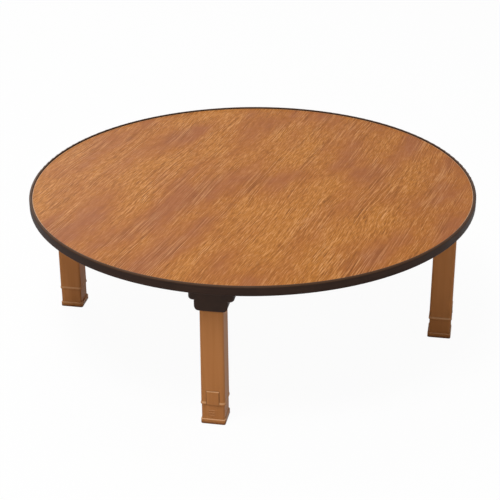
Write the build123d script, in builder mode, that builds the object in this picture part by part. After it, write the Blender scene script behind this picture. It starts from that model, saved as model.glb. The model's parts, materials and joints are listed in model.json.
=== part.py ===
from build123d import *
from math import degrees
import os

# Round low table whose four legs fold under the top.
# Millimetres. The origin is on the floor under the middle of the top, and +Z points up.
# The legs stand on the X and Y axes. Each leg piece is shaped once, at the +X place,
# and then turned about Z to its own side.

# ---- driving dimensions: the top ---------------------------------------------------
table_height = 273.0        # floor to the wood-grain surface
top_diameter = 800.0        # over the edge band
laminate_thickness = 0.8
laminate_rounding = 0.5     # rounded upper edge of the decor sheet
core_thickness = 13.0
backing_thickness = 0.5

band_width = 5.4            # crown of the edge band, from the panel to the outside
band_height = 16.8
band_rise = 2.5             # lip of the band above the wood-grain surface
band_lip_rounding = 1.5     # inner edge of the lip
band_top_rounding = 3.0     # outer edge of the lip
band_foot_rounding = 1.6
band_seam = 0.5             # open butt joint where the two ends of the band meet
barb_thickness = 1.8        # tongue of the band that is driven into the panel
barb_depth = 8.5
barb_tooth = 0.3            # height of the teeth on the tongue
barb_tooth_length = 2.0
barb_teeth = 2

# ---- driving dimensions: the legs --------------------------------------------------
leg_inset = 49.0            # rim of the table to the middle of a leg
leg_size = 39.2             # square section from the hinge up
leg_draft = 0.6             # each face lies this much further out at the foot
leg_corner = 4.5
leg_wall = 2.6
head_room = 10.6            # leg's head to the panel, for the lock
head_solid = 24.5           # hinge axis down to the end of the leg's hollow
bead_height = 5.0           # raised bead round the lower end
bead_proud = 0.9
bead_slope = 3.0            # height over which the bead's upper side slopes in
bead_rounding = 0.3         # its lower edge

shoe_height = 38.5          # joint line between the foot cap and the leg
shoe_inset = 0.8            # the foot cap is this much slimmer than the leg's end, each side
base_height = 10.5          # flared band at the bottom of the foot cap
base_flare = 0.5            # beyond the leg's outer and side faces
base_inner_flare = 1.5      # beyond the leg's inner face
base_corner = 3.6
base_top_rounding = 1.8
base_foot_rounding = 0.6
plug_height = 25.0          # part of the foot cap inside the leg
plug_wall = 2.4
cap_floor = 3.0
tongue_width = 21.0         # tongue of the foot cap seen in the leg's outer face
tongue_height = 25.5
tongue_proud = 0.6          # its face stands this much in front of the leg's face
tongue_chamfer = 1.2        # its upper edge
rib_count = 3               # raised grip ribs on the front of the shoe
rib_length = 10.0
rib_height = 1.8
rib_pitch = 4.5
rib_proud = 0.5
rib_shift = -2.0            # middle of the ribs, sideways
rib_low = 17.2              # middle of the lowest rib above the floor

pad_thickness = 3.0
pad_proud = 1.0             # part of the pad that stands below the foot cap
pad_margin = 3.2            # from the flared base to the pad
pad_corner = 3.0
pad_chamfer = 0.4

# ---- driving dimensions: the brackets ----------------------------------------------
flange_width = 75.0
flange_depth = 26.8         # height of the wide upper block below the panel
flange_corner = 8.0         # outer corners, seen from below
flange_back_corner = 8.0
flange_rounding = 5.0       # lower edge
boss_width = 55.4
boss_depth = 44.6           # from the panel to the lowest edge of the bracket
boss_corner = 3.5
boss_rounding = 10.5        # lower side edges
stop_wall = 2.9             # outer wall that the open leg leans on
stop_rounding = 2.2
boss_back = 24.0            # hinge axis to the inner face of the cheeks
bracket_back = 53.0         # hinge axis to the inner end of the bracket
rail_wall = 2.5
rail_pocket_front = 2.0     # hollow of the side rails, measured inward from the hinge axis
rail_pocket_length = 36.0
seat_plate = 3.0            # plastic under each screw head

screw_front = 8.0           # screws outside and inside the hinge axis
screw_back = 45.0
screw_side = 31.2
screw_diameter = 3.5
screw_length = 13.0
screw_tip = 3.0
screw_head_diameter = 7.0
screw_head_height = 2.2
screw_recess = 1.2
screw_recess_length = 3.6
screw_recess_width = 0.8
screw_pocket_diameter = 7.6

# ---- driving dimensions: hinge and lock --------------------------------------------
pin_diameter = 5.0
pin_head_diameter = 7.0
pin_head_height = 2.2
pin_sink = 0.4              # both ends of the pin lie behind the bracket's side faces
clip_thickness = 0.6
clip_diameter = 7.0
clip_notches = 3
clip_notch = 0.8

leaf_thickness = 0.8
leaf_width = 24.0
leaf_tail = 42.0            # hinge axis to the held end of the leaf
leaf_grip = 18.0            # length of the leaf inside its slot
leaf_height = 6.3           # flat of the leaf above the leg's head
leaf_bend_start = 17.0      # where the leaf starts to slope down
leaf_ramp_end = 5.2
leaf_ramp_height = 1.5      # lower end of the slope above the leg's head
leaf_bend = 1.0
tooth_width = 4.0
tooth_depth = 2.2           # how deep the tooth sits in the leg's head
leaf_lift_reach = 8.0       # upturned free end of the leaf
leaf_lift = 3.1

button_thickness = 3.2
button_width = 26.0
button_neck = 18.0
button_nose = 14.6          # hinge axis to the nose of the button
button_nose_chamfer = 0.8
button_shoulder = 47.7      # hinge axis to the shoulders that keep the button in
button_travel = 5.0
button_head_thickness = 2.7
button_head_width = 24.0
button_head_height = 8.6
button_grooves = 3
button_groove = 0.7
button_floor = 1.2          # plate of the bracket that the button slides on

# ---- named clearances --------------------------------------------------------------
band_clearance = 0.2        # band to panel, all round
barb_clearance = 0.05       # teeth of the tongue to the groove
leg_clearance = 0.4         # leg to the bracket's cheeks and stop wall
head_clearance = 0.5        # head of the turning leg to the bracket above it
pin_clearance = 0.05        # leg on its pin, radial
hold_clearance = 0.03       # pin, clip and leaf in what holds them
plug_clearance = 0.25       # foot cap inside the leg
tongue_clearance = 0.5
pad_clearance = 0.15
screw_clearance = 0.05      # screw in the core, radial
screw_play = 0.2            # screw in bracket and backing sheet, radial
slide_clearance = 0.15      # button in its channel
button_gap = 0.3            # button head to the bracket at the end of its travel
notch_clearance = 0.4       # tooth in its notch
window_margin = 1.3         # opening of the bracket around the leaf
cut_over = 1.0              # how far cuts run past the surface they open

# ---- worked out --------------------------------------------------------------------
leg_half = leg_size / 2
leg_end_size = leg_size + 2 * leg_draft
leg_end_half = leg_end_size / 2
top_radius = top_diameter / 2
leg_radius = top_radius - leg_inset
panel_radius = top_radius - band_width
core_top = table_height - laminate_thickness
core_bottom = core_top - core_thickness
underside = core_bottom - backing_thickness
band_top = table_height + band_rise
band_middle = core_bottom + core_thickness / 2
groove_width = barb_thickness + 2 * barb_tooth + 2 * barb_clearance

head_top = underside - head_room
pin_height = head_top - leg_half
leg_cavity_end = pin_height - head_solid
flange_bottom = underside - flange_depth
boss_bottom = underside - boss_depth
slot_ceiling = head_top + head_clearance
slot_half = leg_half + leg_clearance
bracket_front_x = leg_radius + slot_half + stop_wall
bracket_back_x = leg_radius - bracket_back
boss_back_x = leg_radius - boss_back
boss_half = boss_width / 2
screw_seat = underside - seat_plate

button_bottom = slot_ceiling + button_floor + slide_clearance
button_top = button_bottom + button_thickness
leaf_bottom = head_top + leaf_height
pad_top = pad_thickness
cap_bottom = pad_proud

sides = {"right": 0, "back": 90, "left": 180, "front": 270}
screw_places = [
    (leg_radius + screw_front, screw_side),
    (leg_radius + screw_front, -screw_side),
    (leg_radius - screw_back, screw_side),
    (leg_radius - screw_back, -screw_side),
]

os.makedirs("parts", exist_ok=True)


def write(piece, name):
    """Label a finished piece and write it as the node of that name."""
    piece.part.label = name
    export_step(piece.part, f"parts/{name}.step")


def write_on_each_side(form, name):
    """Write a leg piece four times, turned from the +X place to its own side."""
    for side, turn in sides.items():
        with BuildPart() as piece:
            with Locations(Location((0, 0, 0), (0, 0, turn))):
                add(form.part)
        write(piece, f"{name}_{side}")


# ---- panel: core, decor sheet, backing sheet and edge band -------------------------
with BuildPart() as panel_core:
    with BuildSketch(Plane.XY.offset(core_bottom)):
        Circle(panel_radius)
    extrude(amount=core_thickness)
    # groove around the rim for the tongue of the edge band
    with BuildSketch(Plane.XY.offset(band_middle - groove_width / 2)):
        Circle(panel_radius)
        Circle(panel_radius - barb_depth - band_clearance, mode=Mode.SUBTRACT)
    extrude(amount=groove_width, mode=Mode.SUBTRACT)
    # pilot holes of the bracket screws, from below
    with BuildSketch(Plane.XY.offset(core_bottom)):
        with PolarLocations(0, len(sides)):
            with Locations(*screw_places):
                Circle(screw_diameter / 2 + screw_clearance)
    extrude(amount=screw_length - seat_plate - backing_thickness + cut_over, mode=Mode.SUBTRACT)
write(panel_core, "panel_core")

with BuildPart() as top_laminate:
    with BuildSketch(Plane.XY.offset(core_top)):
        Circle(panel_radius)
    extrude(amount=laminate_thickness)
    fillet(top_laminate.edges().group_by(Axis.Z)[-1], laminate_rounding)
write(top_laminate, "top_laminate")

with BuildPart() as backing_sheet:
    with BuildSketch(Plane.XY.offset(underside)):
        Circle(panel_radius)
        with PolarLocations(0, len(sides)):
            with Locations(*screw_places):
                Circle(screw_diameter / 2 + screw_play, mode=Mode.SUBTRACT)
    extrude(amount=backing_thickness)
write(backing_sheet, "backing_sheet")

# The band is an extruded strip bent once around the rim. Its ends meet at the back.
with BuildPart() as edge_band:
    with BuildSketch(Plane.YZ) as band_section:
        with BuildLine():
            Polyline(
                (panel_radius + band_clearance, band_top),
                (top_radius, band_top),
                (top_radius, band_top - band_height),
                (panel_radius + band_clearance, band_top - band_height),
                close=True,
            )
        make_face()
        outer_corners = band_section.vertices().group_by(Axis.X)[-1].sort_by(Axis.Y)
        fillet(outer_corners[-1], band_top_rounding)
        foot_corners = band_section.vertices().group_by(Axis.Y)[0].sort_by(Axis.X)
        fillet(foot_corners[-1], band_foot_rounding)
        lip_corners = band_section.vertices().group_by(Axis.Y)[-1].sort_by(Axis.X)
        fillet(lip_corners[0], band_lip_rounding)
        # tongue with its teeth, which lock it in the groove of the core
        with Locations((panel_radius + band_clearance, band_middle)):
            Rectangle(
                barb_depth + band_clearance,
                barb_thickness,
                align=(Align.MAX, Align.CENTER),
            )
        tooth_pitch = barb_depth / (barb_teeth + 1)
        for tooth in range(barb_teeth):
            tooth_front = panel_radius - barb_depth + tooth * tooth_pitch
            with BuildLine():
                Polyline(
                    (tooth_front, band_middle - barb_thickness / 2),
                    (tooth_front + barb_tooth_length, band_middle - barb_thickness / 2 - barb_tooth),
                    (tooth_front + barb_tooth_length, band_middle + barb_thickness / 2 + barb_tooth),
                    (tooth_front, band_middle + barb_thickness / 2),
                    close=True,
                )
            make_face()
    revolve(axis=Axis.Z, revolution_arc=360 - degrees(band_seam / top_radius))
write(edge_band, "edge_band")

# ---- bracket -----------------------------------------------------------------------
# Lower part of the bracket: a cup with two cheeks and a stop wall, rounded towards the leg.
with BuildPart() as boss:
    with BuildSketch(Plane.XY.offset(boss_bottom)) as boss_plan:
        with Locations((bracket_front_x, 0)):
            Rectangle(bracket_front_x - boss_back_x, boss_width, align=(Align.MAX, Align.CENTER))
        fillet(boss_plan.vertices().group_by(Axis.X)[-1], boss_corner)
    extrude(amount=boss_depth)
    with BuildSketch(Plane.YZ.offset(boss_back_x)) as boss_face:
        with Locations((0, underside)):
            Rectangle(boss_width, boss_depth, align=(Align.CENTER, Align.MAX))
        fillet(boss_face.vertices().group_by(Axis.Y)[0], boss_rounding)
    extrude(amount=bracket_front_x - boss_back_x, mode=Mode.INTERSECT)
    with BuildSketch(Plane.XZ) as boss_side:
        with Locations((bracket_front_x, underside)):
            Rectangle(bracket_front_x - boss_back_x, boss_depth, align=(Align.MAX, Align.MAX))
        fillet(boss_side.vertices().group_by(Axis.Y)[0], stop_rounding)
    extrude(amount=boss_width, both=True, mode=Mode.INTERSECT)

with BuildPart() as bracket:
    # wide upper block that is screwed to the panel
    with BuildSketch(Plane.XY.offset(flange_bottom)) as flange_plan:
        with Locations((bracket_front_x, 0)):
            Rectangle(
                bracket_front_x - bracket_back_x,
                flange_width,
                align=(Align.MAX, Align.CENTER),
            )
        fillet(flange_plan.vertices().group_by(Axis.X)[-1], flange_corner)
        fillet(flange_plan.vertices().group_by(Axis.X)[0], flange_back_corner)
    extrude(amount=flange_depth)
    fillet(bracket.edges().group_by(Axis.Z)[0], flange_rounding)
    add(boss.part)

    # slot that the leg turns in, open below and towards the middle of the table
    with BuildSketch(Plane.XY.offset(boss_bottom - cut_over)):
        with Locations((leg_radius + slot_half, 0)):
            Rectangle(
                slot_half + bracket_back + cut_over,
                2 * slot_half,
                align=(Align.MAX, Align.CENTER),
            )
    extrude(amount=slot_ceiling - boss_bottom + cut_over, mode=Mode.SUBTRACT)

    # opening above the leg's head, where the lock leaf works
    with BuildSketch(Plane.XY.offset(slot_ceiling)):
        with Locations((leg_radius - leaf_tail + leaf_grip, 0)):
            Rectangle(
                leaf_tail - leaf_grip + leg_half - stop_wall,
                leaf_width + 2 * window_margin,
                align=(Align.MIN, Align.CENTER),
            )
    extrude(amount=underside - slot_ceiling, mode=Mode.SUBTRACT)

    # slot that grips the tail of the leaf
    with BuildSketch(Plane.XY.offset(leaf_bottom - hold_clearance)):
        with Locations((leg_radius - leaf_tail - hold_clearance, 0)):
            Rectangle(
                leaf_grip + hold_clearance,
                leaf_width + 2 * slide_clearance,
                align=(Align.MIN, Align.CENTER),
            )
    extrude(amount=leaf_thickness + 2 * hold_clearance, mode=Mode.SUBTRACT)

    # channel of the release button, narrower at its mouth
    with BuildSketch(Plane.XY.offset(button_bottom - slide_clearance)):
        with Locations((leg_radius - button_shoulder - slide_clearance, 0)):
            Rectangle(
                button_shoulder + slide_clearance - leaf_tail + leaf_grip,
                button_width + 2 * slide_clearance,
                align=(Align.MIN, Align.CENTER),
            )
        with Locations((bracket_back_x - cut_over, 0)):
            Rectangle(
                bracket_back + cut_over - button_shoulder,
                button_neck + 2 * slide_clearance,
                align=(Align.MIN, Align.CENTER),
            )
    extrude(amount=button_thickness + 2 * slide_clearance, mode=Mode.SUBTRACT)

    # hollows of the two side rails, open against the panel
    rail_inner = slot_half + rail_wall
    rail_outer = flange_width / 2 - rail_wall
    with BuildSketch(Plane.XY.offset(flange_bottom + rail_wall)):
        for rail_side in (-1, 1):
            with Locations((leg_radius - rail_pocket_front, rail_side * (rail_inner + rail_outer) / 2)):
                Rectangle(
                    rail_pocket_length,
                    rail_outer - rail_inner,
                    align=(Align.MAX, Align.CENTER),
                )
    extrude(amount=flange_depth - rail_wall, mode=Mode.SUBTRACT)

    # screw pockets, open below, and the holes through the plate above them
    with Locations(*[Location((x, y, flange_bottom), (180, 0, 0)) for x, y in screw_places]):
        CounterBoreHole(
            radius=screw_diameter / 2 + screw_play,
            counter_bore_radius=screw_pocket_diameter / 2,
            counter_bore_depth=screw_seat - flange_bottom,
            depth=flange_depth,
        )

    # hinge pin: through both cheeks, with a recess for its head and one for its clip
    with BuildSketch(Plane.XZ):
        with Locations((leg_radius, pin_height)):
            Circle(pin_diameter / 2 + hold_clearance)
    extrude(amount=boss_half, both=True, mode=Mode.SUBTRACT)
    with BuildSketch(Plane.XZ.offset(-boss_half)):
        with Locations((leg_radius, pin_height)):
            Circle(pin_head_diameter / 2 + hold_clearance)
    extrude(amount=pin_sink + pin_head_height, mode=Mode.SUBTRACT)
    with BuildSketch(Plane.XZ.offset(boss_half)):
        with Locations((leg_radius, pin_height)):
            Circle(clip_diameter / 2 + hold_clearance)
    extrude(amount=-(pin_sink + pin_head_height), mode=Mode.SUBTRACT)
write_on_each_side(bracket, "bracket")

# ---- wood screws of the brackets, all in one node ----------------------------------
with BuildPart() as screw:
    with BuildSketch(Plane.XZ):
        with BuildLine():
            Polyline(
                (0, screw_seat - screw_head_height),
                (screw_head_diameter / 2, screw_seat - screw_head_height),
                (screw_head_diameter / 2, screw_seat),
                (screw_diameter / 2, screw_seat),
                (screw_diameter / 2, screw_seat + screw_length - screw_tip),
                (0, screw_seat + screw_length),
                close=True,
            )
        make_face()
    revolve(axis=Axis.Z)
    fillet(screw.edges().group_by(Axis.Z)[0], screw_head_height / 2)
    with BuildSketch(Plane.XY.offset(screw_seat - screw_head_height)):
        Rectangle(screw_recess_length, screw_recess_width)
        Rectangle(screw_recess_width, screw_recess_length)
    extrude(amount=screw_recess, mode=Mode.SUBTRACT)

with BuildPart() as bracket_screws:
    with PolarLocations(0, len(sides)):
        with Locations(*screw_places):
            add(screw.part)
write(bracket_screws, "bracket_screws")

# ---- hinge pins and their clips ----------------------------------------------------
pin_head_seat = boss_half - pin_sink - pin_head_height
with BuildPart() as hinge_pin:
    with BuildSketch(Plane.XZ.offset(-pin_head_seat)):
        with Locations((leg_radius, pin_height)):
            Circle(pin_diameter / 2)
    extrude(amount=pin_head_seat + boss_half - pin_sink)
    with BuildSketch(Plane.XZ.offset(-pin_head_seat)):
        with Locations((leg_radius, pin_height)):
            Circle(pin_head_diameter / 2)
    extrude(amount=-pin_head_height)
    fillet(hinge_pin.edges().group_by(Axis.Y)[-1], pin_head_height / 2)
write_on_each_side(hinge_pin, "hinge_pin")

with BuildPart() as clip:
    with BuildSketch(Plane.XZ.offset(pin_head_seat)):
        with Locations((leg_radius, pin_height)):
            Circle(clip_diameter / 2)
            Circle(pin_diameter / 2 + hold_clearance, mode=Mode.SUBTRACT)
            with PolarLocations(pin_diameter / 2, clip_notches):
                Circle(clip_notch / 2, mode=Mode.SUBTRACT)
    extrude(amount=clip_thickness)

with BuildPart() as pin_clips:
    with PolarLocations(0, len(sides)):
        add(clip.part)
write(pin_clips, "pin_clips")

# ---- leg ---------------------------------------------------------------------------
bead_size = leg_end_size + 2 * bead_proud
with BuildPart() as bead:
    with BuildSketch(Plane.XY.offset(shoe_height)):
        with Locations((leg_radius, 0)):
            RectangleRounded(bead_size, bead_size, leg_corner + bead_proud)
    extrude(amount=bead_height)
    fillet(bead.edges().group_by(Axis.Z)[0], bead_rounding)
    bead_top = bead.faces().sort_by(Axis.Z)[-1]
    chamfer(bead_top.edges(), bead_proud, bead_slope, reference=bead_top)

with BuildPart() as leg:
    # round head, so that the leg can turn under the panel
    with BuildSketch(Plane.XY.offset(pin_height)):
        with Locations((leg_radius, 0)):
            RectangleRounded(leg_size, leg_size, leg_corner)
    extrude(amount=leg_half)
    with BuildSketch(Plane.XZ):
        with Locations((leg_radius, pin_height)):
            Circle(leg_half)
    extrude(amount=leg_half, both=True, mode=Mode.INTERSECT)
    # shaft, a little wider towards the foot
    with BuildSketch(Plane.XY.offset(shoe_height)):
        with Locations((leg_radius, 0)):
            RectangleRounded(leg_end_size, leg_end_size, leg_corner)
    with BuildSketch(Plane.XY.offset(pin_height)):
        with Locations((leg_radius, 0)):
            RectangleRounded(leg_size, leg_size, leg_corner)
    loft(ruled=True)
    add(bead.part)
    # hollow, open at the foot
    with BuildSketch(Plane.XY.offset(shoe_height)):
        with Locations((leg_radius, 0)):
            RectangleRounded(
                leg_size - 2 * leg_wall,
                leg_size - 2 * leg_wall,
                leg_corner - leg_wall,
            )
    extrude(amount=leg_cavity_end - shoe_height, mode=Mode.SUBTRACT)
    # slot in the outer face for the tongue of the foot cap
    with BuildSketch(Plane.XY.offset(shoe_height)):
        with Locations((leg_radius + leg_end_half + bead_proud + cut_over, 0)):
            Rectangle(
                leg_draft + leg_wall + bead_proud + 2 * cut_over,
                tongue_width + 2 * tongue_clearance,
                align=(Align.MAX, Align.CENTER),
            )
    extrude(amount=tongue_height + tongue_clearance, mode=Mode.SUBTRACT)
    # bore for the hinge pin
    with BuildSketch(Plane.XZ):
        with Locations((leg_radius, pin_height)):
            Circle(pin_diameter / 2 + pin_clearance)
    extrude(amount=leg_end_half, both=True, mode=Mode.SUBTRACT)
    # notches for the tooth of the lock leaf: one for the open leg, one for the folded leg
    with BuildSketch(Plane.XZ):
        with Locations((leg_radius, pin_height)):
            with PolarLocations(leg_half, 2, start_angle=90, angular_range=180):
                Rectangle(
                    2 * (tooth_depth + notch_clearance),
                    tooth_width + 2 * notch_clearance,
                )
    extrude(amount=leaf_width / 2 + notch_clearance, both=True, mode=Mode.SUBTRACT)
write_on_each_side(leg, "leg")

# ---- foot cap and its pad ----------------------------------------------------------
shoe_size = leg_end_size - 2 * shoe_inset
plug_size = leg_size - 2 * leg_wall - 2 * plug_clearance
base_depth = leg_end_size + base_flare + base_inner_flare
base_width = leg_end_size + 2 * base_flare
base_middle = leg_radius + (base_flare - base_inner_flare) / 2
pad_depth = base_depth - 2 * pad_margin
pad_width = base_width - 2 * pad_margin

with BuildPart() as foot_cap:
    # flared base
    with BuildSketch(Plane.XY.offset(cap_bottom)):
        with Locations((base_middle, 0)):
            RectangleRounded(base_depth, base_width, base_corner)
    extrude(amount=base_height - cap_bottom)
    fillet(foot_cap.edges().group_by(Axis.Z)[-1], base_top_rounding)
    fillet(foot_cap.edges().group_by(Axis.Z)[0], base_foot_rounding)
    # shoe between the base and the leg
    with BuildSketch(Plane.XY.offset(pad_top)):
        with Locations((leg_radius, 0)):
            RectangleRounded(shoe_size, shoe_size, leg_corner - shoe_inset)
    extrude(amount=shoe_height - pad_top)
    # raised ribs on the outer face
    with BuildSketch(Plane.YZ.offset(leg_radius + shoe_size / 2)):
        for rib in range(rib_count):
            with Locations((rib_shift, rib_low + rib * rib_pitch)):
                Rectangle(rib_length, rib_height)
    extrude(amount=rib_proud)
    # plug inside the leg, and the tongue that snaps into the leg's slot
    with BuildSketch(Plane.XY.offset(shoe_height)):
        with Locations((leg_radius, 0)):
            RectangleRounded(plug_size, plug_size, leg_corner - leg_wall - plug_clearance)
    extrude(amount=plug_height)
    with BuildSketch(Plane.XY.offset(shoe_height)):
        with Locations((leg_radius + leg_end_half + tongue_proud, 0)):
            Rectangle(
                leg_draft + leg_wall + plug_clearance + plug_wall + tongue_proud,
                tongue_width,
                align=(Align.MAX, Align.CENTER),
            )
    extrude(amount=tongue_height)
    tongue_edges = foot_cap.edges().filter_by(Axis.Y).group_by(Axis.Z)[-1]
    chamfer(tongue_edges.sort_by(Axis.X)[-1], tongue_chamfer)
    # hollow, open at the top
    with BuildSketch(Plane.XY.offset(pad_top + cap_floor)):
        with Locations((leg_radius, 0)):
            Rectangle(plug_size - 2 * plug_wall, plug_size - 2 * plug_wall)
    extrude(amount=shoe_height + tongue_height - pad_top - cap_floor, mode=Mode.SUBTRACT)
    # seat of the rubber pad
    with BuildSketch(Plane.XY.offset(cap_bottom - cut_over)):
        with Locations((base_middle, 0)):
            RectangleRounded(
                pad_depth + 2 * pad_clearance,
                pad_width + 2 * pad_clearance,
                pad_corner + pad_clearance,
            )
    extrude(amount=pad_top - cap_bottom + cut_over, mode=Mode.SUBTRACT)
write_on_each_side(foot_cap, "foot_cap")

with BuildPart() as foot_pad:
    with BuildSketch(Plane.XY):
        with Locations((base_middle, 0)):
            RectangleRounded(pad_depth, pad_width, pad_corner)
    extrude(amount=pad_thickness)
    chamfer(foot_pad.edges().group_by(Axis.Z)[0], pad_chamfer)
write_on_each_side(foot_pad, "foot_pad")

# ---- lock leaf: spring steel strip, drawn along its lower side ----------------------
with BuildPart() as lock_leaf:
    with BuildSketch(Plane.XZ):
        with BuildLine():
            FilletPolyline(
                (leg_radius - leaf_tail, leaf_bottom),
                (leg_radius - leaf_bend_start, leaf_bottom),
                (leg_radius - leaf_ramp_end, head_top + leaf_ramp_height),
                (leg_radius - tooth_width / 2, head_top + leaf_ramp_height),
                (leg_radius - tooth_width / 2, head_top - tooth_depth),
                (leg_radius + tooth_width / 2, head_top - tooth_depth),
                (leg_radius + tooth_width / 2, head_top + leaf_ramp_height),
                (leg_radius + leaf_lift_reach, head_top + leaf_lift),
                radius=leaf_bend,
            )
            offset(amount=leaf_thickness, side=Side.LEFT)
        make_face()
    extrude(amount=leaf_width / 2, both=True)
write_on_each_side(lock_leaf, "lock_leaf")

# ---- release button: slides outward and lifts the leaf with its nose ----------------
button_head_back_x = bracket_back_x - button_gap - button_travel - button_head_thickness
with BuildPart() as release_button:
    with BuildSketch(Plane.XY.offset(button_bottom)):
        with Locations((leg_radius - button_shoulder, 0)):
            Rectangle(
                button_shoulder - button_nose,
                button_width,
                align=(Align.MIN, Align.CENTER),
            )
        with Locations((button_head_back_x, 0)):
            Rectangle(
                leg_radius - button_shoulder - button_head_back_x,
                button_neck,
                align=(Align.MIN, Align.CENTER),
            )
    extrude(amount=button_thickness)
    nose = release_button.edges().filter_by(Axis.Y).group_by(Axis.X)[-1].sort_by(Axis.Z)[-1]
    chamfer(nose, button_nose_chamfer)
    # pressing plate outside the bracket, with finger grooves
    plate_bottom = slot_ceiling + slide_clearance
    with BuildSketch(Plane.YZ.offset(button_head_back_x)) as plate:
        with Locations((0, plate_bottom)):
            Rectangle(button_head_width, button_head_height, align=(Align.CENTER, Align.MIN))
        fillet(plate.vertices(), button_groove)
    extrude(amount=button_head_thickness)
    groove_pitch = button_head_height / (button_grooves + 1)
    with BuildSketch(Plane.XZ):
        for groove in range(button_grooves):
            with Locations((button_head_back_x, plate_bottom + (groove + 1) * groove_pitch)):
                Circle(button_groove)
    extrude(amount=button_head_width, both=True, mode=Mode.SUBTRACT)
write_on_each_side(release_button, "release_button")
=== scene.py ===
import json
import math

import bpy
from mathutils import Matrix, Vector

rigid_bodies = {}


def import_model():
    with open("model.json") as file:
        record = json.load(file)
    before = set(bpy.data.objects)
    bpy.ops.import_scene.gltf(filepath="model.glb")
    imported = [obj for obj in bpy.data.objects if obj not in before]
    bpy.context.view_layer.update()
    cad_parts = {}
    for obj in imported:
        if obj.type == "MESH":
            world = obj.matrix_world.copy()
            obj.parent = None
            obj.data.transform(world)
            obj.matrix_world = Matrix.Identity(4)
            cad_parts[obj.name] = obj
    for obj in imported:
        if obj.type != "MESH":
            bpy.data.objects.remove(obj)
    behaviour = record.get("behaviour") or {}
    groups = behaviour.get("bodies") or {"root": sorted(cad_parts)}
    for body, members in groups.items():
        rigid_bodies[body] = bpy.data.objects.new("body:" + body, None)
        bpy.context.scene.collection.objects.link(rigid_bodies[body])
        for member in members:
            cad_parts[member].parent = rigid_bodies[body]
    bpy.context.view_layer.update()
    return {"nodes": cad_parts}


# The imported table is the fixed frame. Everything below dresses its pieces, sets it on a
# floor and lights it. Lengths are metres, and a size in millimetres says so in its name.
for leftover in list(bpy.data.objects):
    bpy.data.objects.remove(leftover)
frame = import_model()
nodes = frame["nodes"]
sides = ("right", "back", "left", "front")

# ---- Panel core ---------------------------------------------------------------------
# The round board that carries the table: medium density fibreboard, pressed from fine
# wood fibres, sawn to a disc and grooved around its rim. Two sheets and the edge band
# cover it, so only a trace of its raw edge can be seen.


def linear(hex_colour):
    """The linear colour that the shaders take, from an sRGB hex value."""
    channels = [int(hex_colour[i:i + 2], 16) / 255 for i in (1, 3, 5)]
    return [c / 12.92 if c <= 0.04045 else ((c + 0.055) / 1.055) ** 2.4
            for c in channels] + [1.0]


def per_mm(size_mm):
    """The texture scale at which one cell of a pattern is this many millimetres long."""
    return 1000.0 / size_mm


def set_node(tree, node, settings=None, links=None):
    """Set a node's values and connect its inputs; "stops" are (position, hex colour)."""
    for name, value in (settings or {}).items():
        if name == "stops":
            stops = node.color_ramp.elements
            while len(stops) > 1:
                stops.remove(stops[-1])
            stops[0].position = value[0][0]
            stops[0].color = linear(value[0][1])
            for position, colour in value[1:]:
                stops.new(position).color = linear(colour)
        elif isinstance(name, str) and hasattr(node, name):
            setattr(node, name, value)
        else:
            node.inputs[name].default_value = value
    for name, source in (links or {}).items():
        tree.links.new(source, node.inputs[name])
    return node


def add_node(tree, kind, settings=None, links=None):
    """Add a node with its settings and links."""
    return set_node(tree, tree.nodes.new(kind), settings, links)


def start_material(name):
    """A material, its tree, its shader, and the coordinates that its patterns follow."""
    material = bpy.data.materials.new(name)
    material.use_nodes = True
    tree = material.node_tree
    place = add_node(tree, "ShaderNodeTexCoord").outputs["Object"]
    return material, tree, tree.nodes["Principled BSDF"], place


def dress(name, material):
    """Give a CAD node this material."""
    slots = nodes[name].data.materials
    slots.clear()
    slots.append(material)


fibreboard, tree, shader, place = start_material("fibreboard_sawn")
# the fibres are about 0.3 mm wide, and are drawn coarser so that they show
fibres = add_node(tree, "ShaderNodeTexNoise",
                  {"Scale": per_mm(1.6), "Detail": 6.0, "Roughness": 0.7}, {"Vector": place})
fibre_colour = add_node(tree, "ShaderNodeValToRGB",
                        {"stops": [(0.3, "#8A6C49"), (0.7, "#B89A72")]},
                        {"Fac": fibres.outputs["Fac"]})
fibre_bump = add_node(tree, "ShaderNodeBump", {"Strength": 0.5, "Distance": 0.0002},
                      {"Height": fibres.outputs["Fac"]})
set_node(tree, shader, {"Roughness": 0.85},
         {"Base Color": fibre_colour.outputs["Color"], "Normal": fibre_bump.outputs["Normal"]})
dress("panel_core", fibreboard)

# ---- Decor sheet --------------------------------------------------------------------
# The table's surface: a sheet printed with a flat-sawn oak figure, pressed on the core and
# embossed with fine pores. It is satin, with golden and reddish drifts along the grain and
# a thin pale line inside the band, which is partly the paler cut edge of the sheet and
# partly a painted highlight on its rounded edge.
grain_turn = math.radians(10.5)          # grain runs this far clockwise from the table's +Y
grain_wander = 0.024                     # how far the grain can sway sideways
sheet_edge = 0.3931                      # radius at which the pale edge line starts: cut edge and painted highlight
sheet_edge_fade = 0.0004
wood_golden = "#BC762D"
wood_amber = "#B16B2C"
wood_red = "#A56235"
fibre_pale = "#F2BC82"
fibre_dark = "#6E3A0E"
# the paler cut edge of the sheet, which also serves as a painted highlight on its rounded edge
cut_edge_and_highlight = "#C89E7C"
ring_spacing_mm = 9
ring_sway = 8.0                          # rings that the lines can shift by
ring_plain = "#BCBCBC"                   # greys of one growth ring, from plain to plain
ring_dark = "#848484"
ring_pale = "#DCDCDC"
ring_plain_level = 0.503                 # the plain grey as a linear value
rubs_turn = 0.7                          # radians

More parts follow.
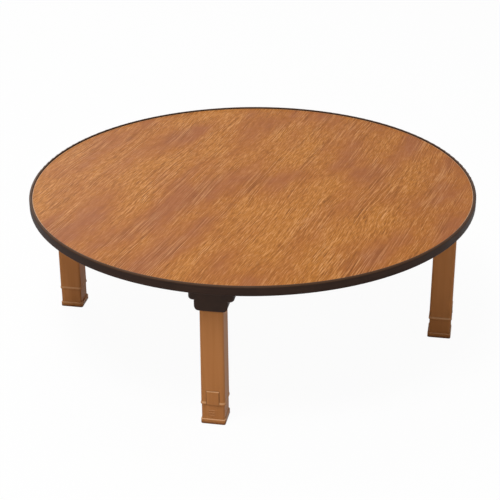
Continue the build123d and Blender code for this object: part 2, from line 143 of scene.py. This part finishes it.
decor, tree, shader, place = start_material("decor_sheet_oak_print")
turned = add_node(tree, "ShaderNodeMapping", {"Rotation": (0.0, 0.0, grain_turn)},
                  {"Vector": place})
wander = add_node(tree, "ShaderNodeTexNoise", {"Scale": per_mm(260), "Detail": 1.0},
                  {"Vector": turned.outputs["Vector"]})
wander_centred = add_node(tree, "ShaderNodeVectorMath",
                          {"operation": "SUBTRACT", 1: (0.5, 0.5, 0.5)},
                          {0: wander.outputs["Color"]})
wander_sized = add_node(tree, "ShaderNodeVectorMath",
                        {"operation": "MULTIPLY", 1: (grain_wander, 0.0, 0.0)},
                        {0: wander_centred.outputs["Vector"]})
grain_place = add_node(tree, "ShaderNodeVectorMath", {"operation": "ADD"},
                       {0: turned.outputs["Vector"], 1: wander_sized.outputs["Vector"]})


def along_grain(across_mm, along_mm, shift, detail, roughness):
    """A noise with cells of this size; a shift of its own keeps it apart from the others."""
    cells = add_node(tree, "ShaderNodeMapping",
                     {"Scale": (per_mm(across_mm), per_mm(along_mm), 1.0),
                      "Location": (shift, 2.3 * shift, 0.0)},
                     {"Vector": grain_place.outputs["Vector"]})
    noise = add_node(tree, "ShaderNodeTexNoise",
                     {"Scale": 1.0, "Detail": detail, "Roughness": roughness},
                     {"Vector": cells.outputs["Vector"]})
    return noise.outputs["Fac"]


# drifts of colour
drift = along_grain(across_mm=80, along_mm=190, shift=0.0, detail=3.0, roughness=0.5)
drift_colour = add_node(tree, "ShaderNodeValToRGB",
                        {"stops": [(0.36, wood_red), (0.5, wood_amber), (0.64, wood_golden)]},
                        {"Fac": drift})
# the golden wood is open grained, and the red wood is closed and smooth
open_grain = add_node(tree, "ShaderNodeMapRange",
                      {"From Min": 0.4, "From Max": 0.58, "To Min": 0.3, "To Max": 1.0},
                      {"Value": drift})
# The figure is a sum of parts, where minus is darker and plus is paler than the drift.
# Broad faint streaks:
streaks = add_node(tree, "ShaderNodeMapRange",
                   {"From Min": 0.3, "From Max": 0.7, "To Min": -0.09, "To Max": 0.05},
                   {"Value": along_grain(across_mm=12, along_mm=130, shift=5.2,
                                         detail=3.0, roughness=0.6)})
# pores and pale fibres, as dashes. Real ones are 0.3 mm wide and are drawn coarser here,
# about 1 mm wide, so that they show:
dashes = add_node(tree, "ShaderNodeMapRange",
                  {"From Min": 0.3, "From Max": 0.7, "To Min": -0.42, "To Max": 0.36},
                  {"Value": along_grain(across_mm=0.9, along_mm=18, shift=0.7,
                                        detail=1.0, roughness=0.6)})
with_dashes = add_node(tree, "ShaderNodeMath", {"operation": "MULTIPLY_ADD"},
                       {0: open_grain.outputs["Result"], 1: dashes.outputs["Result"],
                        2: streaks.outputs["Result"]})
# fine straight lines, in groups about 30 mm wide. Each is really 0.5 mm wide, and is drawn
# coarser too:
lines = add_node(tree, "ShaderNodeMapRange",
                 {"From Min": 0.36, "From Max": 0.64, "To Min": -0.28, "To Max": 0.26},
                 {"Value": along_grain(across_mm=1.2, along_mm=80, shift=8.1,
                                       detail=0.0, roughness=0.5)})
lines_there = add_node(tree, "ShaderNodeMapRange",
                       {"From Min": 0.47, "From Max": 0.62, "To Min": 0.2, "To Max": 1.0},
                       {"Value": along_grain(across_mm=30, along_mm=150, shift=1.4,
                                             detail=1.0, roughness=0.5)})
with_lines = add_node(tree, "ShaderNodeMath", {"operation": "MULTIPLY_ADD"},
                      {0: lines_there.outputs["Result"], 1: lines.outputs["Result"],
                       2: with_dashes.outputs["Value"]})
# growth rings: thin dark lines, each with a pale one beside it, which close up, part and
# fade
ring_across = add_node(tree, "ShaderNodeSeparateXYZ", {},
                       {"Vector": grain_place.outputs["Vector"]})
ring_even = add_node(tree, "ShaderNodeMath",
                     {"operation": "MULTIPLY", 1: per_mm(ring_spacing_mm)},
                     {0: ring_across.outputs["X"]})
ring_swayed = add_node(tree, "ShaderNodeMath", {"operation": "MULTIPLY_ADD", 1: ring_sway},
                       {0: along_grain(across_mm=90, along_mm=1600, shift=3.1,
                                       detail=2.0, roughness=0.4),
                        2: ring_even.outputs["Value"]})
ring_phase = add_node(tree, "ShaderNodeMath", {"operation": "FRACT"},
                      {0: ring_swayed.outputs["Value"]})
ring_wave = add_node(tree, "ShaderNodeValToRGB",
                     {"stops": [(0.0, ring_plain), (0.07, ring_dark), (0.16, ring_dark),
                                (0.23, ring_pale), (0.34, ring_pale), (0.42, ring_plain)]},
                     {"Fac": ring_phase.outputs["Value"]})
ring_tone = add_node(tree, "ShaderNodeMath", {"operation": "SUBTRACT", 1: ring_plain_level},
                     {0: ring_wave.outputs["Color"]})
rings_there = add_node(tree, "ShaderNodeMapRange",
                       {"From Min": 0.53, "From Max": 0.64, "To Min": 0.0, "To Max": 1.0},
                       {"Value": along_grain(across_mm=30, along_mm=150, shift=2.9,
                                             detail=2.0, roughness=0.5)})
figure = add_node(tree, "ShaderNodeMath", {"operation": "MULTIPLY_ADD"},
                  {0: rings_there.outputs["Result"], 1: ring_tone.outputs["Value"],
                   2: with_lines.outputs["Value"]})
darker = add_node(tree, "ShaderNodeMapRange",
                  {"From Min": -0.6, "From Max": 0.0, "To Min": 0.85, "To Max": 0.0},
                  {"Value": figure.outputs["Value"]})
paler = add_node(tree, "ShaderNodeMapRange",
                 {"From Min": 0.0, "From Max": 0.6, "To Min": 0.0, "To Max": 0.6},
                 {"Value": figure.outputs["Value"]})
darkened = add_node(tree, "ShaderNodeMix", {"data_type": "RGBA", 7: linear(fibre_dark)},
                    {0: darker.outputs["Result"], 6: drift_colour.outputs["Color"]})
figured = add_node(tree, "ShaderNodeMix", {"data_type": "RGBA", 7: linear(fibre_pale)},
                   {0: paler.outputs["Result"], 6: darkened.outputs[2]})


def from_middle(tree, place):
    """The distance of a place from the upright line through the table's middle."""
    flat = add_node(tree, "ShaderNodeVectorMath", {"operation": "MULTIPLY", 1: (1.0, 1.0, 0.0)},
                    {0: place})
    reach = add_node(tree, "ShaderNodeVectorMath", {"operation": "LENGTH"},
                     {0: flat.outputs["Vector"]})
    return reach.outputs["Value"]


# the pale line at the sheet's edge: partly its cut edge, partly a painted highlight
at_edge = add_node(tree, "ShaderNodeMapRange",
                   {"From Min": sheet_edge, "From Max": sheet_edge + sheet_edge_fade},
                   {"Value": from_middle(tree, place)})
sheet_colour = add_node(tree, "ShaderNodeMix", {"data_type": "RGBA", 7: linear(cut_edge_and_highlight)},
                        {0: at_edge.outputs["Result"], 6: figured.outputs[2]})
# satin varnish with fine rubbing marks from use, along the table's +X. Their turn comes
# after the stretch, so it only picks another part of the noise
rubs_place = add_node(tree, "ShaderNodeMapping",
                      {"Scale": (per_mm(26), per_mm(4), 1.0),
                       "Rotation": (0.0, 0.0, rubs_turn)},
                      {"Vector": place})
rubs = add_node(tree, "ShaderNodeTexNoise", {"Scale": 1.0, "Detail": 5.0},
                {"Vector": rubs_place.outputs["Vector"]})
sheet_gloss = add_node(tree, "ShaderNodeMapRange",
                       {"From Min": 0.3, "From Max": 0.7, "To Min": 0.4, "To Max": 0.52},
                       {"Value": rubs.outputs["Fac"]})
embossing = add_node(tree, "ShaderNodeBump", {"Strength": 0.35, "Distance": 0.00012},
                     {"Height": dashes.outputs["Result"]})
set_node(tree, shader, {"Specular IOR Level": 0.07},
         {"Base Color": sheet_colour.outputs[2], "Roughness": sheet_gloss.outputs["Result"],
          "Normal": embossing.outputs["Normal"]})
dress("top_laminate", decor)

# ---- Backing sheet ------------------------------------------------------------------
# Brown balancing paper soaked in resin, pressed on the underside so that the board stays
# flat. It is dull, with cloudy fibres and no print.
backing, tree, shader, place = start_material("backing_paper_pressed")
clouds = add_node(tree, "ShaderNodeTexNoise",
                  {"Scale": per_mm(28), "Detail": 8.0, "Roughness": 0.65}, {"Vector": place})
paper_colour = add_node(tree, "ShaderNodeValToRGB",
                        {"stops": [(0.35, "#6E4F35"), (0.65, "#86654A")]},
                        {"Fac": clouds.outputs["Fac"]})
paper_bump = add_node(tree, "ShaderNodeBump", {"Strength": 0.3, "Distance": 0.0001},
                      {"Height": clouds.outputs["Fac"]})
set_node(tree, shader, {"Roughness": 0.62},
         {"Base Color": paper_colour.outputs["Color"], "Normal": paper_bump.outputs["Normal"]})
dress("backing_sheet", backing)

# ---- Edge band ----------------------------------------------------------------------
# A T-shaped strip of dark brown PVC, extruded and hammered into the groove of the core. The
# die leaves faint lines along it, and handling varies its tone. Where its crown faces up it
# is painted paler and warmer, as a highlight.
band_radius = 0.4
# painted highlight: the colour that the crown is mixed towards where it faces up
band_crown_highlight_colour = "#4B3424"

band, tree, shader, place = start_material("pvc_extruded")
band_parts = add_node(tree, "ShaderNodeSeparateXYZ", {}, {"Vector": place})
toward_front = add_node(tree, "ShaderNodeMath", {"operation": "MULTIPLY", 1: -1.0},
                        {0: band_parts.outputs["Y"]})
around = add_node(tree, "ShaderNodeMath", {"operation": "ARCTAN2"},
                  {0: band_parts.outputs["X"], 1: toward_front.outputs["Value"]})
along = add_node(tree, "ShaderNodeMath", {"operation": "MULTIPLY", 1: band_radius},
                 {0: around.outputs["Value"]})
band_place = add_node(tree, "ShaderNodeCombineXYZ", {},
                      {"X": along.outputs["Value"], "Y": from_middle(tree, place),
                       "Z": band_parts.outputs["Z"]})
# the lines of the die are about 0.3 mm apart, and are drawn coarser so that they show
die_place = add_node(tree, "ShaderNodeMapping",
                     {"Scale": (per_mm(260), per_mm(1.3), per_mm(1.3))},
                     {"Vector": band_place.outputs["Vector"]})
die_lines = add_node(tree, "ShaderNodeTexNoise", {"Scale": 1.0, "Detail": 3.0},
                     {"Vector": die_place.outputs["Vector"]})
handling = add_node(tree, "ShaderNodeTexNoise",
                    {"Scale": per_mm(45), "Detail": 5.0, "Roughness": 0.6},
                    {"Vector": band_place.outputs["Vector"]})
band_tone = add_node(tree, "ShaderNodeMath", {"operation": "MULTIPLY"},
                     {0: die_lines.outputs["Fac"], 1: handling.outputs["Fac"]})
band_colour = add_node(tree, "ShaderNodeValToRGB",
                       {"stops": [(0.12, "#2C1D16"), (0.42, "#3C2A21")]},
                       {"Fac": band_tone.outputs["Value"]})
band_gloss = add_node(tree, "ShaderNodeMapRange",
                      {"From Min": 0.3, "From Max": 0.7, "To Min": 0.5, "To Max": 0.62},
                      {"Value": handling.outputs["Fac"]})
band_bump = add_node(tree, "ShaderNodeBump", {"Strength": 0.25, "Distance": 0.0001},
                     {"Height": die_lines.outputs["Fac"]})


def facing_up(tree, least, full):
    """Where a surface faces up: 0 at the least upward part of its normal, 1 at the full."""
    place_and_normal = add_node(tree, "ShaderNodeTexCoord")
    normal = add_node(tree, "ShaderNodeSeparateXYZ", {},
                      {"Vector": place_and_normal.outputs["Normal"]})
    upward = add_node(tree, "ShaderNodeMapRange",
                      {"From Min": least, "From Max": full, "To Min": 0.0, "To Max": 1.0},
                      {"Value": normal.outputs["Z"]})
    return upward.outputs["Result"]


# painted highlight: the upward-facing parts of the crown are mixed paler and warmer
band_crown_highlight = add_node(tree, "ShaderNodeMix",
                       {"data_type": "RGBA", 7: linear(band_crown_highlight_colour)},
                       {0: facing_up(tree, least=0.2, full=0.6),
                        6: band_colour.outputs["Color"]})
set_node(tree, shader, {"IOR": 1.52, "Specular IOR Level": 0.1},
         {"Base Color": band_crown_highlight.outputs[2], "Roughness": band_gloss.outputs["Result"],
          "Normal": band_bump.outputs["Normal"]})
dress("edge_band", band)

# ---- Leg brackets -------------------------------------------------------------------
# Dark brown polypropylene, injection moulded in a spark-eroded mould that leaves a fine
# matt grain, and held under the board by four screws each. Its corners are painted a little
# paler than its faces, as a highlight.
# painted highlight colour for the bracket's corners
bracket_edge_highlight_colour = "#5A463A"

bracket_plastic, tree, shader, place = start_material("polypropylene_moulded_dark")
# the eroded grain is about 0.2 mm, and is drawn coarser so that it shows
eroded = add_node(tree, "ShaderNodeTexNoise", {"Scale": per_mm(0.9), "Detail": 3.0},
                  {"Vector": place})
flow = add_node(tree, "ShaderNodeTexNoise", {"Scale": per_mm(24), "Detail": 4.0},
                {"Vector": place})
bracket_colour = add_node(tree, "ShaderNodeValToRGB",
                          {"stops": [(0.3, "#32231B"), (0.7, "#3F2D24")]},
                          {"Fac": flow.outputs["Fac"]})


def edge_highlight_and_rounding(tree, radius, most):
    """How much paler a moulding's corners are painted as a highlight, and the normal that rounds
    them off.
    """
    softened = add_node(tree, "ShaderNodeBevel", {"samples": 6, "Radius": radius})
    true_normal = add_node(tree, "ShaderNodeNewGeometry").outputs["Normal"]
    likeness = add_node(tree, "ShaderNodeVectorMath", {"operation": "DOT_PRODUCT"},
                        {0: softened.outputs["Normal"], 1: true_normal})
    edge_highlight = add_node(tree, "ShaderNodeMapRange",
                    {"From Min": 0.995, "From Max": 0.86, "To Min": 0.0, "To Max": most},
                    {"Value": likeness.outputs["Value"]})
    return edge_highlight.outputs["Result"], softened.outputs["Normal"]


# painted highlight: the corners that the bevel finds are mixed paler
bracket_edge_highlight, bracket_rounded = edge_highlight_and_rounding(tree, radius=0.0018, most=0.8)
bracket_edge_lit = add_node(tree, "ShaderNodeMix",
                        {"data_type": "RGBA", 7: linear(bracket_edge_highlight_colour)},
                        {0: bracket_edge_highlight, 6: bracket_colour.outputs["Color"]})
bracket_gloss = add_node(tree, "ShaderNodeMapRange",
                         {"From Min": 0.3, "From Max": 0.7, "To Min": 0.44, "To Max": 0.58},
                         {"Value": flow.outputs["Fac"]})
bracket_bump = add_node(tree, "ShaderNodeBump", {"Strength": 0.3, "Distance": 0.00008},
                        {"Height": eroded.outputs["Fac"], "Normal": bracket_rounded})
set_node(tree, shader, {"IOR": 1.49, "Specular IOR Level": 0.12},
         {"Base Color": bracket_edge_lit.outputs[2], "Roughness": bracket_gloss.outputs["Result"],
          "Normal": bracket_bump.outputs["Normal"]})
for side in sides:
    dress(f"bracket_{side}", bracket_plastic)

# ---- Legs, foot caps and release buttons --------------------------------------------
# Tan-brown polypropylene, injection moulded. Each foot cap is pushed up into its leg, and
# each button slides in its bracket. The faces are satin, with faint flow lines down the
# leg. The edges and the ledges that face up are painted paler as highlights, and the joints
# are painted darker as shade.
# painted highlight colour for the leg's edges
leg_edge_highlight_colour = "#C08A5C"
# painted highlight colour for ledges that face up
ledge_highlight_colour = "#E3AE7E"
# painted shade colour for the joints and where the foot meets the floor
painted_shade_colour = "#3F2413"

leg_plastic, tree, shader, place = start_material("polypropylene_moulded_tan")
flow_place = add_node(tree, "ShaderNodeMapping",
                      {"Scale": (per_mm(8), per_mm(8), per_mm(140))}, {"Vector": place})
flow_lines = add_node(tree, "ShaderNodeTexNoise",
                      {"Scale": 1.0, "Detail": 4.0, "Roughness": 0.55},
                      {"Vector": flow_place.outputs["Vector"]})
leg_colour = add_node(tree, "ShaderNodeValToRGB",
                      {"stops": [(0.25, "#B67642"), (0.5, "#BB7B47"), (0.75, "#C0804C")]},
                      {"Fac": flow_lines.outputs["Fac"]})
# painted highlight: the corners that the bevel finds are mixed paler
leg_edge_highlight, leg_rounded = edge_highlight_and_rounding(tree, radius=0.0009, most=0.55)
leg_edge_lit = add_node(tree, "ShaderNodeMix", {"data_type": "RGBA", 7: linear(leg_edge_highlight_colour)},
                    {0: leg_edge_highlight, 6: leg_colour.outputs["Color"]})
# painted shade: the joints are darkened where the ambient occlusion finds them closed in,
# less so below about 30 mm around the ribs, and the lowest millimetres of the foot are
# darkened as a painted contact shadow with the floor
openness = add_node(tree, "ShaderNodeAmbientOcclusion", {"samples": 8, "Distance": 0.006})
joint_shade = add_node(tree, "ShaderNodeMapRange",
                       {"From Min": 0.45, "From Max": 0.92, "To Min": 0.9, "To Max": 0.0},
                       {"Value": openness.outputs["AO"]})
leg_height = add_node(tree, "ShaderNodeSeparateXYZ", {}, {"Vector": place})
shade_kept = add_node(tree, "ShaderNodeMapRange",
                 {"From Min": 0.03, "From Max": 0.034, "To Min": 0.2, "To Max": 1.0},
                 {"Value": leg_height.outputs["Z"]})
joint_shade_kept = add_node(tree, "ShaderNodeMath", {"operation": "MULTIPLY"},
                      {0: joint_shade.outputs["Result"], 1: shade_kept.outputs["Result"]})
floor_contact_shade = add_node(tree, "ShaderNodeMapRange",
                       {"From Min": 0.002, "From Max": 0.007, "To Min": 0.7, "To Max": 0.0},
                       {"Value": leg_height.outputs["Z"]})
painted_shade = add_node(tree, "ShaderNodeMath", {"operation": "MAXIMUM"},
                 {0: joint_shade_kept.outputs["Value"], 1: floor_contact_shade.outputs["Result"]})
leg_shaded = add_node(tree, "ShaderNodeMix", {"data_type": "RGBA", 7: linear(painted_shade_colour)},
                     {0: painted_shade.outputs["Value"], 6: leg_edge_lit.outputs[2]})
# ledges that look up are painted pale as a highlight: the bead, the tongue's upper edge,
# ribs and base
leg_ledge_lit = add_node(tree, "ShaderNodeMix", {"data_type": "RGBA", 7: linear(ledge_highlight_colour)},
                     {0: facing_up(tree, least=0.08, full=0.4), 6: leg_shaded.outputs[2]})
# darker towards the bottom: 5 % darker up to 25 mm, fading out by 100 mm
darker_low = add_node(tree, "ShaderNodeMapRange",
                  {"From Min": 0.025, "From Max": 0.1, "To Min": 0.95, "To Max": 1.0},
                  {"Value": leg_height.outputs["Z"]})
leg_darker_low = add_node(tree, "ShaderNodeVectorMath", {"operation": "SCALE"},
                      {0: leg_ledge_lit.outputs[2], "Scale": darker_low.outputs["Result"]})
# the moulded skin has a grain of about 0.2 mm, which is drawn coarser so that it shows
skin = add_node(tree, "ShaderNodeTexNoise", {"Scale": per_mm(1.1), "Detail": 2.0},
                {"Vector": place})
leg_gloss = add_node(tree, "ShaderNodeMapRange",
                     {"From Min": 0.3, "From Max": 0.7, "To Min": 0.38, "To Max": 0.5},
                     {"Value": flow_lines.outputs["Fac"]})
leg_bump = add_node(tree, "ShaderNodeBump", {"Strength": 0.2, "Distance": 0.00006},
                    {"Height": skin.outputs["Fac"], "Normal": leg_rounded})
set_node(tree, shader, {"IOR": 1.49, "Specular IOR Level": 0.06},
         {"Base Color": leg_darker_low.outputs["Vector"], "Roughness": leg_gloss.outputs["Result"],
          "Normal": leg_bump.outputs["Normal"]})
for side in sides:
    dress(f"leg_{side}", leg_plastic)
    dress(f"foot_cap_{side}", leg_plastic)
    dress(f"release_button_{side}", leg_plastic)

# ---- Foot pads ----------------------------------------------------------------------
# Black-brown rubber, pressed and glued into the foot cap so that the table doesn't slide.
# It is dull, dusty and a little rough where it has stood.
pad_rubber, tree, shader, place = start_material("rubber_pressed")
dust = add_node(tree, "ShaderNodeTexNoise",
                {"Scale": per_mm(6), "Detail": 8.0, "Roughness": 0.7}, {"Vector": place})
rubber_colour = add_node(tree, "ShaderNodeValToRGB",
                         {"stops": [(0.4, "#25211E"), (0.75, "#453F39")]},
                         {"Fac": dust.outputs["Fac"]})
rubber_bump = add_node(tree, "ShaderNodeBump", {"Strength": 0.5, "Distance": 0.0001},
                       {"Height": dust.outputs["Fac"]})
set_node(tree, shader, {"Roughness": 0.82},
         {"Base Color": rubber_colour.outputs["Color"], "Normal": rubber_bump.outputs["Normal"]})
for side in sides:
    dress(f"foot_pad_{side}", pad_rubber)

# ---- Screws and hinge pins ----------------------------------------------------------
# Mild steel, cold headed and zinc plated. The screws hold the brackets to the board, and
# each leg turns on its pin. The plating is bright, with a cloudy crystal pattern, and
# slightly dulled by finger marks.
zinc_steel, tree, shader, place = start_material("steel_zinc_plated")
# the crystals are under half a millimetre, and are drawn coarser so that they show
crystals = add_node(tree, "ShaderNodeTexVoronoi", {"Scale": per_mm(1.8)}, {"Vector": place})
smudge = add_node(tree, "ShaderNodeTexNoise", {"Scale": per_mm(3), "Detail": 5.0},
                  {"Vector": place})
zinc_tone = add_node(tree, "ShaderNodeMath", {"operation": "MULTIPLY"},
                     {0: crystals.outputs["Distance"], 1: smudge.outputs["Fac"]})
zinc_colour = add_node(tree, "ShaderNodeValToRGB",
                       {"stops": [(0.0, "#A7AAAE"), (0.5, "#C9CBCC")]},
                       {"Fac": zinc_tone.outputs["Value"]})
zinc_gloss = add_node(tree, "ShaderNodeMapRange",
                      {"From Min": 0.3, "From Max": 0.7, "To Min": 0.24, "To Max": 0.42},
                      {"Value": smudge.outputs["Fac"]})
set_node(tree, shader, {"Metallic": 1.0},
         {"Base Color": zinc_colour.outputs["Color"], "Roughness": zinc_gloss.outputs["Result"]})
dress("bracket_screws", zinc_steel)
for side in sides:
    dress(f"hinge_pin_{side}", zinc_steel)

# ---- Lock leaves and pin clips ------------------------------------------------------
# Hardened spring steel strip, rolled, blanked and bent. The leaf is pushed into a slot of
# the bracket, and the clip onto the end of the pin. It is grey with fine rolling lines
# along the strip and a faint brown temper tint.
spring_steel, tree, shader, place = start_material("spring_steel_rolled")
leaf_parts = add_node(tree, "ShaderNodeSeparateXYZ", {}, {"Vector": place})
leaf_around = add_node(tree, "ShaderNodeMath", {"operation": "ARCTAN2"},
                       {0: leaf_parts.outputs["Y"], 1: leaf_parts.outputs["X"]})
leaf_place = add_node(tree, "ShaderNodeCombineXYZ", {},
                      {"X": leaf_around.outputs["Value"], "Y": from_middle(tree, place),
                       "Z": leaf_parts.outputs["Z"]})
# Across the strip goes the angle in radians, and 0.0024 of it is 0.8 mm on a leaf. Real
# rolling lines are about 0.2 mm apart, and are drawn coarser so that they show
rolling_place = add_node(tree, "ShaderNodeMapping",
                         {"Scale": (per_mm(2.4), per_mm(60), per_mm(6))},
                         {"Vector": leaf_place.outputs["Vector"]})
rolling = add_node(tree, "ShaderNodeTexNoise", {"Scale": 1.0, "Detail": 5.0},
                   {"Vector": rolling_place.outputs["Vector"]})
temper_colour = add_node(tree, "ShaderNodeValToRGB",
                         {"stops": [(0.3, "#6E6A68"), (0.7, "#9A9896")]},
                         {"Fac": rolling.outputs["Fac"]})
rolling_gloss = add_node(tree, "ShaderNodeMapRange",
                         {"From Min": 0.3, "From Max": 0.7, "To Min": 0.28, "To Max": 0.45},
                         {"Value": rolling.outputs["Fac"]})
set_node(tree, shader, {"Metallic": 1.0},
         {"Base Color": temper_colour.outputs["Color"],
          "Roughness": rolling_gloss.outputs["Result"]})
dress("pin_clips", spring_steel)
for side in sides:
    dress(f"lock_leaf_{side}", spring_steel)

# ---- Floor --------------------------------------------------------------------------
# A plain white studio floor of matt paper. To the eye and in reflections it is lifted
# towards white, so that only a soft shadow of the table is left on it.
floor_half = 7.0
floor_drop = 0.0002                      # just below the pads, so that no two faces meet
floor_lift = 0.96
floor_colour = "#FAFAF9"
pure_white = "#FFFFFF"
floor_mesh = bpy.data.meshes.new("studio_floor")
floor_mesh.from_pydata(
    [(-floor_half, -floor_half, 0.0), (floor_half, -floor_half, 0.0),
     (floor_half, floor_half, 0.0), (-floor_half, floor_half, 0.0)],
    [], [(0, 1, 2, 3)])
floor = bpy.data.objects.new("studio_floor", floor_mesh)
bpy.context.scene.collection.objects.link(floor)
floor.location.z = -floor_drop


def direct_look(tree):
    """1 where the eye looks, also in a reflection or through glass, and 0 for other light."""
    rays = add_node(tree, "ShaderNodeLightPath")
    eye_or_gloss = add_node(tree, "ShaderNodeMath", {"operation": "MAXIMUM"},
                            {0: rays.outputs["Is Camera Ray"],
                             1: rays.outputs["Is Glossy Ray"]})
    any_look = add_node(tree, "ShaderNodeMath", {"operation": "MAXIMUM"},
                        {0: eye_or_gloss.outputs["Value"],
                         1: rays.outputs["Is Transmission Ray"]})
    return any_look.outputs["Value"]


floor_paper, tree, shader, _ = start_material("paper_matt_white")
tree.nodes.remove(shader)
lifted = add_node(tree, "ShaderNodeMath", {"operation": "MULTIPLY", 1: floor_lift},
                  {0: direct_look(tree)})
matt = add_node(tree, "ShaderNodeBsdfDiffuse", {"Color": linear(floor_colour)})
white = add_node(tree, "ShaderNodeEmission", {"Color": linear(pure_white), "Strength": 1.0})
floor_mix = add_node(tree, "ShaderNodeMixShader", {},
                     {0: lifted.outputs["Value"], 1: matt.outputs["BSDF"],
                      2: white.outputs["Emission"]})
tree.links.new(floor_mix.outputs["Shader"], tree.nodes["Material Output"].inputs["Surface"])
floor_mesh.materials.append(floor_paper)

# ---- Studio light -------------------------------------------------------------------
# Four soft boxes: a large one above and in front, a wide one above and behind, and two weak
# ones, far behind on the left and low in front, that lift the edges. The room is evenly lit
# and looks white to the eye and in reflections.
room_strength = 0.18
lamp_target = Vector((0.0, 0.0, 0.1))
soft_boxes = {
    # name: (place, size, watts)
    "soft_box_key": ((-0.35, -1.3, 3.0), 1.0, 53.0),
    "soft_box_over": ((-0.9, 1.1, 2.6), 1.6, 24.0),
    "soft_box_far": ((-1.8, 2.8, 1.5), 1.4, 13.0),
    "soft_box_low": ((0.2, -2.9, 0.4), 0.8, 6.0),
}

world = bpy.data.worlds.new("studio_room")
bpy.context.scene.world = world
world.use_nodes = True
tree = world.node_tree
tree.nodes.clear()
room_light = add_node(tree, "ShaderNodeBackground",
                      {"Color": linear(pure_white), "Strength": room_strength})
room_white = add_node(tree, "ShaderNodeBackground",
                      {"Color": linear(pure_white), "Strength": 1.0})
room_mix = add_node(tree, "ShaderNodeMixShader", {},
                    {0: direct_look(tree), 1: room_light.outputs["Background"],
                     2: room_white.outputs["Background"]})
add_node(tree, "ShaderNodeOutputWorld", {}, {"Surface": room_mix.outputs["Shader"]})

for name, (spot, size, watts) in soft_boxes.items():
    lamp = bpy.data.lights.new(name, "AREA")
    lamp.shape = "SQUARE"
    lamp.size = size
    lamp.energy = watts
    lamp_object = bpy.data.objects.new(name, lamp)
    bpy.context.scene.collection.objects.link(lamp_object)
    lamp_object.location = spot
    to_target = lamp_target - Vector(spot)
    lamp_object.rotation_euler = to_target.to_track_quat("-Z", "Y").to_euler()

# ---- Camera -------------------------------------------------------------------------
# A long lens 2.6 m from the table, a little to the right of its front, that looks down on
# it. It is tilted sideways by a fraction of a degree.
camera_place = (0.4103, -2.2321, 1.2621)
azimuth = math.radians(10.55)
look_down = math.radians(26.27)
roll = math.radians(-0.34)
lens_mm = 98.5
sensor_mm = 36.0

camera_data = bpy.data.cameras.new("camera")
camera_data.sensor_width = sensor_mm
camera_data.lens = lens_mm
camera = bpy.data.objects.new("camera", camera_data)
bpy.context.scene.collection.objects.link(camera)
camera.matrix_world = (
    Matrix.Translation(camera_place)
    @ Matrix.Rotation(azimuth, 4, "Z")
    @ Matrix.Rotation(math.radians(90) - look_down, 4, "X")
    @ Matrix.Rotation(roll, 4, "Z")
)
bpy.context.scene.camera = camera
bpy.context.scene.view_settings.view_transform = "Standard"
